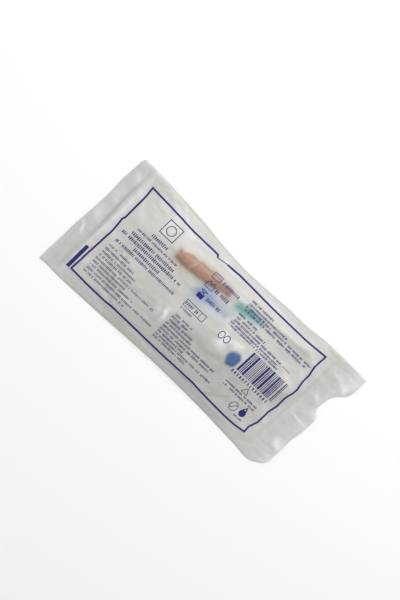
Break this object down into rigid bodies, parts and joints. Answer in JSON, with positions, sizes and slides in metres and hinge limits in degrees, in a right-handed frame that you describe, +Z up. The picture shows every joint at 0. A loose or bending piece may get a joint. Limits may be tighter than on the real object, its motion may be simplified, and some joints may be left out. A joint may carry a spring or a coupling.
{
  "type": "intravenous infusion set",
  "caption": "Gravity infusion set sealed in a clear film pouch: vented spike, drip chamber, roller clamp, coiled tube, latex bulb and capped needle.",
  "frame": {"origin": "middle of the pouch's box, on the surface it rests on", "axes": "+X along the pouch towards the end where the spike points, +Y across it towards the needle's side, +Z up"},
  "size_m": [0.2051, 0.0953, 0.0214],
  "materials": {
    "pouch_film": "milky clear film",
    "clear_pvc": "clear soft",
    "white_abs": "satin",
    "natural_pe": "translucent",
    "blue_plastic": "satin",
    "teal_plastic": "translucent",
    "tan_latex": "matte",
    "filter_white": "woven mesh",
    "needle_steel": "drawn"
  },
  "bodies": {
    "pack": {"pouch": "pouch_film", "tubing_upper": "clear_pvc", "tubing_coil": "clear_pvc", "tubing_tail": "clear_pvc", "drip_chamber": "clear_pvc", "fluid_filter": "filter_white", "spike": "white_abs", "spike_cap": "natural_pe", "vent_filter": "filter_white", "vent_cap": "blue_plastic", "clamp_housing": "white_abs", "latex_bulb": "tan_latex", "luer_connector": "white_abs", "needle_hub": "teal_plastic", "needle_cannula": "needle_steel", "needle_cap": "natural_pe"},
    "roller": {"clamp_roller": "blue_plastic"}
  },
  "joints": [
    {"name": "roller_slide", "type": "slide", "parent": "pack", "child": "roller", "axis": [1, -0.0072, 0], "range_m": [0, 0.02023], "deforming": ["tubing_upper"]}
  ]
}
